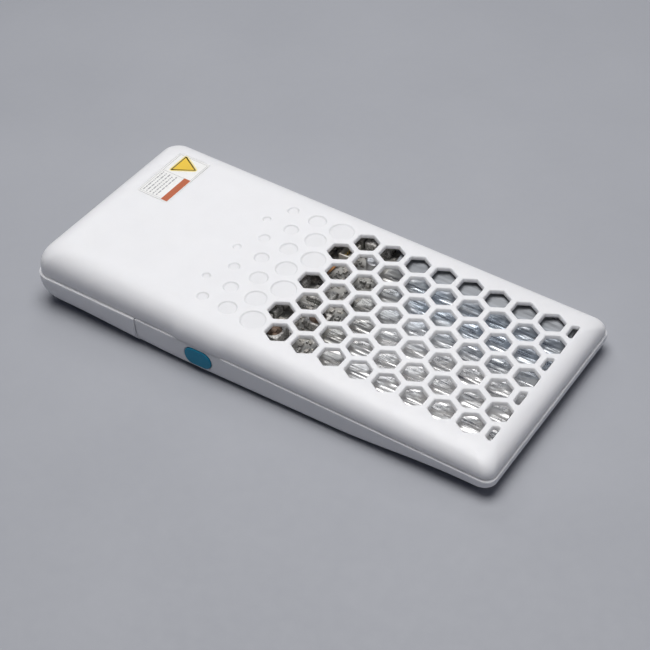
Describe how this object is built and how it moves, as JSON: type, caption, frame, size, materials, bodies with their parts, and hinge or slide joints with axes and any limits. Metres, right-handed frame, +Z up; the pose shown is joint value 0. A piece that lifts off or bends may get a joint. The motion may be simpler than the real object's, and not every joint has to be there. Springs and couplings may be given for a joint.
{
  "type": "pocket home projector",
  "caption": "Slim wedge-shaped white pocket projector with a honeycomb cooling grille, a side power button, a sliding battery cover and a window in one end.",
  "frame": {"origin": "on the surface that the projector stands on, under the middle of the case", "axes": "+X along the case towards the thin end with the grille, -X towards the projection window, +Y towards the port side, -Y towards the power button, +Z up"},
  "size_m": [0.1597, 0.072, 0.0205],
  "materials": {
    "white_shell": "satin moulded plastic with a fine texture",
    "teal_button": "satin",
    "label_film": "printed film",
    "foot_rubber": "matt",
    "screw_steel": "zinc plated",
    "optical_glass": "polished",
    "mirror_coating": "polished",
    "black_plastic": "matt",
    "engine_aluminium": "cast",
    "laser_brass": "plated",
    "silicon_chip": "satin",
    "cable_jacket": "satin",
    "battery_wrap": "satin",
    "port_steel": "bright",
    "circuit_board": "solder mask",
    "crinkled_foil": "crinkled bright foil",
    "speaker_cone": "matt"
  },
  "bodies": {
    "case": {"top_shell": "white_shell", "bottom_shell": "white_shell", "warning_label": "label_film", "foot_front_left": "foot_rubber", "foot_front_right": "foot_rubber", "case_screw_1": "screw_steel", "case_screw_2": "screw_steel", "case_screw_3": "screw_steel", "case_screw_4": "screw_steel", "projection_window": "optical_glass", "red_laser_collimator": "optical_glass", "green_laser_collimator": "optical_glass", "blue_laser_collimator": "optical_glass", "red_laser_combiner": "optical_glass", "green_laser_combiner": "optical_glass", "blue_laser_combiner": "optical_glass", "fold_mirror": "mirror_coating", "window_gasket": "black_plastic", "fan_housing": "black_plastic", "board_connector": "black_plastic", "tact_switch": "black_plastic", "power_port_tongue": "black_plastic", "video_port_tongue": "black_plastic", "speaker_housing": "black_plastic", "light_engine_housing": "engine_aluminium", "light_engine_lid": "engine_aluminium", "heat_sink": "engine_aluminium", "storage_capacitor": "engine_aluminium", "red_laser_diode": "laser_brass", "green_laser_diode": "laser_brass", "blue_laser_diode": "laser_brass", "battery_contacts": "laser_brass", "scan_mirror_frame": "silicon_chip", "processor_chip": "silicon_chip", "memory_chip_a": "silicon_chip", "memory_chip_b": "silicon_chip", "power_coil_a": "silicon_chip", "power_coil_b": "silicon_chip", "laser_driver_chip": "silicon_chip", "ribbon_cable": "cable_jacket", "battery_lead": "cable_jacket", "battery_cell": "battery_wrap", "fan_cover": "port_steel", "fan_shaft": "port_steel", "power_port_shell": "port_steel", "video_port_shell": "port_steel", "main_board": "circuit_board", "driver_board": "circuit_board", "foil_heat_shield": "crinkled_foil", "speaker_cone": "speaker_cone"},
    "battery_cover": {"battery_cover": "white_shell", "foot_rear_left": "foot_rubber", "foot_rear_right": "foot_rubber"},
    "power_button": {"power_button": "teal_button"},
    "switch_plunger": {"switch_plunger": "port_steel"},
    "fan_rotor": {"fan_rotor": "black_plastic"},
    "scan_mirror": {"scan_mirror": "mirror_coating"}
  },
  "joints": [
    {"name": "battery_cover_slide", "type": "slide", "parent": "case", "child": "battery_cover", "axis": [-1, 0, 0], "range_m": [0, 0.006]},
    {"name": "power_button_press", "type": "slide", "parent": "case", "child": "power_button", "axis": [0, 1, 0], "range_m": [0, 0.0005], "stiffness_N_per_m": 1500},
    {"name": "switch_plunger_press", "type": "slide", "parent": "case", "child": "switch_plunger", "axis": [0, 1, 0], "range_m": [0, 0.0005], "stiffness_N_per_m": 200},
    {"name": "fan_spin", "type": "hinge", "parent": "case", "child": "fan_rotor", "pos_m": [-0.02, 0.0136, 0.0066], "axis": [0, 0, 1], "continuous": true},
    {"name": "scan_mirror_tilt", "type": "hinge", "parent": "case", "child": "scan_mirror", "pos_m": [-0.0675, 0.014, 0.0133], "axis": [0, 0, 1], "range_deg": [-10, 10], "stiffness_Nm_per_rad": 0.0002}
  ],
  "couplings": [
    {"joint": "switch_plunger_press", "follows": "power_button_press", "ratio": 1}
  ]
}
